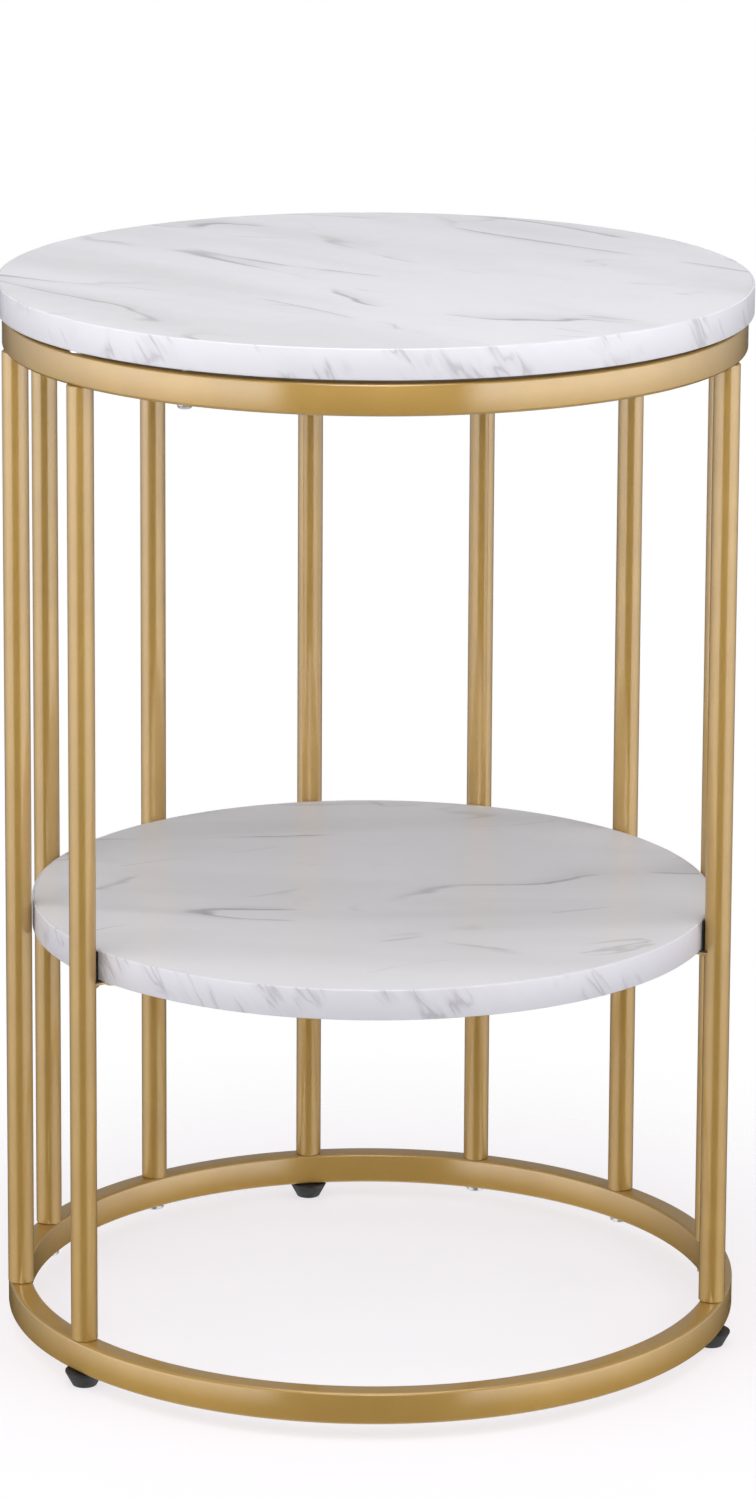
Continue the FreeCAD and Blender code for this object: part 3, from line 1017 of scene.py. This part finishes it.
@dataclass
class ShelfBracket:
    """A flat bracket under the shelf, and the ripple of the weld that holds it to its upright."""

    support: Support
    finishes: Finishes
    thickness: float = 1.5 * MM
    upright_radius: float = 191.0 * MM
    weld_radius: float = 7.75 * MM
    weld_half_sweep: float = 28.0
    weld_drop: float = 0.75 * MM
    size: float = 1.0 * MM
    ripple: float = 0.95 * MM
    ripple_share: float = 0.16
    end_share: float = 0.05
    rows_per_ripple: int = 8
    sides: int = 12

    def bead_radius(self, run: float, length: float) -> float:
        """The bead's radius, which swells at every ripple and runs out at both ends.

        Args:
            run: How far along the bead it is.
            length: The bead's length.

        Returns:
            The radius.
        """
        swell = abs(math.sin(math.pi * run / self.ripple))
        ends = min(run, length - run) / self.size
        between = 1.0 - self.ripple_share * (1.0 - swell)
        return self.size * between * math.sqrt(max(self.end_share, min(1.0, ends)))

    def build_weld(self) -> None:
        """Makes the weld, on an arc round the upright under the bracket."""
        word = self.support.word
        inward = math.radians(self.support.value + 180.0)
        half = math.radians(self.weld_half_sweep)
        length = 2 * half * self.weld_radius
        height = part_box(f"shelf_bracket_{word}")[1].z - self.thickness - self.weld_drop
        middle = spot(self.upright_radius, self.support.value, height)
        rows = []
        count = round(length / self.ripple * self.rows_per_ripple)
        for run in (length * row / count for row in range(count + 1)):
            turn = inward - half + run / self.weld_radius
            outward, up = Vector((math.cos(turn), math.sin(turn), 0.0)), Vector((0.0, 0.0, 1.0))
            reach = self.bead_radius(run, length)
            sides = [math.tau * side / self.sides for side in range(self.sides)]
            centre = middle + outward * self.weld_radius
            rows.append([centre + (outward * math.cos(a) + up * math.sin(a)) * reach for a in sides])
        shape = bmesh.new()
        skin(shape, rows)
        piece = new_piece(f"bracket_weld_{word}", shape, self.finishes.gold)
        hand_over(piece, Body.TABLE, Slot.GOLD_PAINT)

    def build(self) -> None:
        """Dresses the bracket and makes its weld."""
        dress(f"shelf_bracket_{self.support.word}", self.finishes.gold)
        self.build_weld()


@dataclass
class LevellingFoot:
    """A moulded foot pad and the threaded stud that it turns."""

    support: Support
    finishes: Finishes
    thread: Thread = Thread(6.0 * MM, 5.0 * MM, 1.0 * MM, top=1.15, slope=2.6, rows_per_turn=6)
    tip: float = 0.8 * MM
    head_height: float = 3.6 * MM
    head_flats: float = 8.0 * MM
    head_ease: Point = (0.5 * MM, 0.3 * MM)
    head_sides: int = 6

    @property
    def body(self) -> Body:
        """The body that the foot rides on."""
        return Body(f"foot_{self.support.word}")

    def reach(self, length: float) -> Callable[[float, float], float]:
        """How the stud's radius changes along its thread.

        Args:
            length: The threaded length.

        Returns:
            What gives the radius at a height and a turn.
        """
        def radius(height: float, turn: float) -> float:
            """The radius at a height above the head and a turn in radians."""
            end = self.thread.diameter / 2 - self.tip + max(0.0, length - height)
            return min(self.thread.radius(height, turn), end)
        return radius

    def build_stud(self) -> None:
        """Makes the stud: a hexagon head with eased corners, and a thread up from it."""
        node = f"foot_stud_{self.support.word}"
        low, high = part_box(node)
        at = Vector(((low.x + high.x) / 2, (low.y + high.y) / 2, low.z))
        corner, top = self.head_flats / math.sqrt(3.0), self.head_height
        inward, up = self.head_ease
        side = [(corner - inward, 0.0), (corner, up), (corner, top - up), (corner - inward, top)]
        shape = bmesh.new()
        lathe(shape, [(0.0, 0.0), *side, (0.0, top)], self.head_sides, at)
        length = high.z - low.z - top
        start = at + Vector((0.0, 0.0, top))
        threaded(shape, start, length, self.reach(length), self.thread.step)
        piece = new_piece(f"foot_thread_{self.support.word}", shape, self.finishes.zinc)
        hand_over(piece, self.body, Slot.ZINC_STEEL, node)

    def build(self) -> None:
        """Dresses the pad and makes the stud."""
        dress(f"foot_pad_{self.support.word}", self.finishes.black)
        self.build_stud()


# The studio


@dataclass
class PhotoCamera:
    """The photograph's camera, by its place and aim about the table."""

    focal_px: float = 6032.5
    image: tuple[int, int] = (756, 1500)
    centre_row: float = 400.0
    sensor: float = 36.0
    azimuth: float = -10.908
    distance: float = 3131.8 * MM
    aside: float = 1.662 * MM
    height: float = 1145.4 * MM
    pitch: float = 11.531
    roll: float = 0.306
    clip: Point = (0.1, 100.0)

    def build(self) -> None:
        """Makes the camera and gives it to the scene."""
        data = bpy.data.cameras.new("photo_camera")
        data.sensor_width = self.sensor
        data.lens = self.focal_px * self.sensor / max(self.image)
        data.shift_y = (self.centre_row - self.image[1] / 2) / max(self.image)
        data.clip_start, data.clip_end = self.clip
        camera = bpy.data.objects.new("photo_camera", data)
        heading = Matrix.Rotation(math.radians(self.azimuth), 4, "Z")
        place = heading @ Vector((self.aside, -self.distance, self.height))
        tilt = Matrix.Rotation(math.radians(90.0 - self.pitch), 4, "X")
        lean = Matrix.Rotation(math.radians(self.roll), 4, "Z")
        camera.matrix_world = Matrix.Translation(place) @ heading @ tilt @ lean
        bpy.context.scene.collection.objects.link(camera)
        bpy.context.scene.camera = camera


@dataclass(frozen=True)
class Softbox:
    """A large soft light, by its place and aim as the camera faces the table, and its brightness."""

    name: str
    place: Triple
    aim: Triple
    width: float
    tall: float
    radiance: float
    mirrored: bool = True
    spread: float = 180.0

    def build(self, heading: float) -> None:
        """Makes the light, which the camera doesn't see.

        Args:
            heading: The angle that the camera's side of the table is turned by.
        """
        data = bpy.data.lights.new(self.name, "AREA")
        data.shape, data.size, data.size_y = "RECTANGLE", self.width, self.tall
        data.spread = math.radians(self.spread)
        data.energy = self.radiance * math.pi * self.width * self.tall
        light = bpy.data.objects.new(self.name, data)
        turn = Matrix.Rotation(math.radians(heading), 3, "Z")
        light.location = turn @ Vector(self.place)
        towards = turn @ (Vector(self.aim) - Vector(self.place))
        light.rotation_euler = towards.to_track_quat("-Z", "Y").to_euler()
        light.visible_camera, light.visible_glossy = False, self.mirrored
        bpy.context.scene.collection.objects.link(light)


@dataclass
class Studio:
    """The pale floor, the white behind it, the soft lights, and what the paint mirrors."""

    heading: float
    sky: float = 0.3
    horizon: Point = (-0.05, 0.1)
    reflectors: float = 1.28
    gap_share: float = 0.04
    front_gap: Point = (33.0, 25.0)
    back_gap: Point = (80.0, 160.0)
    grade_span: Point = (-0.39, -0.15)
    grade: Point = (0.0, 2.3)
    ground_span: Point = (-0.5, -0.7)
    ground: float = 0.7
    floor_reach: float = 3.0
    floor_segments: int = 96
    softboxes: Sequence[Softbox] = (
        Softbox("left_panel", (-1.25, -1.0, 1.25), (0.0, -1.0, 1.25), 2.4, 2.1, 1.5, mirrored=False),
        Softbox("right_panel", (1.25, -1.0, 1.25), (0.0, -1.0, 1.25), 2.4, 2.1, 1.5, mirrored=False),
        Softbox("front_softbox", (0.0, -2.4, 1.0), (0.0, 0.0, 0.55), 1.6, 0.6, 0.48, spread=40.0),
        Softbox("near_softbox", (0.0, -1.5, 1.55), (0.0, 0.0, 0.4), 1.4, 0.8, 1.7),
        Softbox("top_softbox", (0.0, -0.3, 2.2), (0.0, -0.1, 0.0), 1.6, 1.4, 2.1),
        Softbox("back_panel", (0.0, 2.2, 0.7), (0.0, 0.0, 0.45), 2.4, 1.2, 1.4, mirrored=False),
    )

    def build_floor(self) -> None:
        """Makes the floor, a disc just under the feet."""
        shape = bmesh.new()
        bmesh.ops.create_circle(shape, cap_ends=True, segments=self.floor_segments, radius=self.floor_reach)
        floor = new_piece("studio_floor", shape, PaleFloor().material())
        floor.visible_glossy = False

    def facing(self, wiring: Wiring, way: Socket) -> Socket:
        """How far a direction points to the camera's side of the table, heights left aside.

        Args:
            wiring: The surroundings' nodes.
            way: The direction.

        Returns:
            One towards the camera's side, and minus one away from it.
        """
        flat = wiring.node("ShaderNodeVectorMath", operation="MULTIPLY")
        level = wiring.node("ShaderNodeVectorMath", operation="NORMALIZE")
        ahead = wiring.node("ShaderNodeVectorMath", operation="DOT_PRODUCT")
        wiring.feed(flat.inputs[0], way)
        wiring.feed(flat.inputs[1], (1.0, 1.0, 0.0))
        wiring.feed(level.inputs[0], flat.outputs[0])
        wiring.feed(ahead.inputs[0], level.outputs[0])
        turn = Matrix.Rotation(math.radians(self.heading), 3, "Z")
        wiring.feed(ahead.inputs[1], turn @ Vector((0.0, -1.0, 0.0)))
        return ahead.outputs["Value"]

    def reflected(self, wiring: Wiring, ahead: Socket, height: Socket) -> Socket:
        """What glossy paint mirrors from below: a ring of white reflectors, and a pale ground under it.

        The ring has a gap on the camera's side and another behind the table.

        Args:
            wiring: The surroundings' nodes.
            ahead: How far the direction points to the camera's side.
            height: How far it points up.

        Returns:
            The brightness.
        """
        (front, front_edge), (back, back_edge) = (
            [math.cos(math.radians(angle)) for angle in gap] for gap in (self.front_gap, self.back_gap)
        )
        (low, high), (dark, bright) = self.grade_span, self.grade
        begin, full = self.ground_span
        ring = wiring.times(
            wiring.ramp(ahead, (front, self.reflectors), (front_edge, self.gap_share), Change.EVEN),
            wiring.ramp(ahead, (back, 1.0), (back_edge, self.gap_share), Change.EVEN),
        )
        graded = wiring.times(ring, wiring.ramp(height, (low, dark), (high, bright), Change.EVEN))
        ground = wiring.ramp(height, (begin, 0.0), (full, self.ground), Change.EVEN)
        return wiring.sum("ADD", graded, ground)

    def build_world(self) -> None:
        """Makes the surroundings: white to look at, and a soft sky as light, over what the paint mirrors."""
        world = bpy.data.worlds.new("studio_white")
        bpy.context.scene.world = world
        world.use_nodes = True
        wiring = Wiring(world.node_tree)
        path = wiring.node("ShaderNodeLightPath")
        way = wiring.node("ShaderNodeTexCoord").outputs["Generated"]
        axes = wiring.node("ShaderNodeSeparateXYZ")
        wiring.feed(axes.inputs[0], way)
        height = axes.outputs["Z"]
        below = self.reflected(wiring, self.facing(wiring, way), height)
        shine = wiring.times(below, path.outputs["Is Glossy Ray"])
        low, high = self.horizon
        light = wiring.ramp(height, (low, shine), (high, self.sky), Change.EVEN)
        white, fill = wiring.tree.nodes["Background"], wiring.node("ShaderNodeBackground")
        for background in (white, fill):
            wiring.feed(background.inputs["Color"], (1.0, 1.0, 1.0, 1.0))
        wiring.feed(fill.inputs["Strength"], light)
        blend = wiring.node("ShaderNodeMixShader")
        sources = (path.outputs["Is Camera Ray"], fill.outputs[0], white.outputs[0])
        for socket, source in zip(blend.inputs, sources):
            wiring.feed(socket, source)
        wiring.feed(wiring.tree.nodes["World Output"].inputs["Surface"], blend.outputs[0])

    def build(self) -> None:
        """Makes the studio."""
        self.build_floor()
        self.build_world()
        for softbox in self.softboxes:
            softbox.build(self.heading)
        bpy.context.scene.view_settings.view_transform = "Standard"


def main() -> None:
    """Builds the camera, the studio and the table's pieces in order."""
    logging.basicConfig(level=logging.INFO, format="%(name)s: %(message)s")
    camera = PhotoCamera()
    camera.build()
    Studio(camera.azimuth).build()
    finishes = Finishes()
    MarbleBoard("tabletop", finishes, vein_turn=-52.0).build()
    MarbleBoard("shelf", finishes, vein_turn=-14.0).build()
    TubeFrame(finishes, TOP_SCREW_ANGLES).build()
    BoardScrews(
        "tabletop", finishes, TOP_SCREW_ANGLES, radius=191.0 * MM, seat=538.0 * MM, length=30.0 * MM
    ).build()
    shelf_angles = [support.value for support in Support]
    BoardScrews(
        "shelf", finishes, shelf_angles, radius=173.0 * MM, seat=218.7 * MM, length=13.3 * MM
    ).build()
    # The shelf buffers are black anti-rattle pads, and their black edges also paint the shadow line between
    # upright, bracket and shelf.
    dress("shelf_buffers", finishes.black)
    for support in Support:
        ShelfBracket(support, finishes).build()
        LevellingFoot(support, finishes).build()


if __name__ == "__main__":
    main()
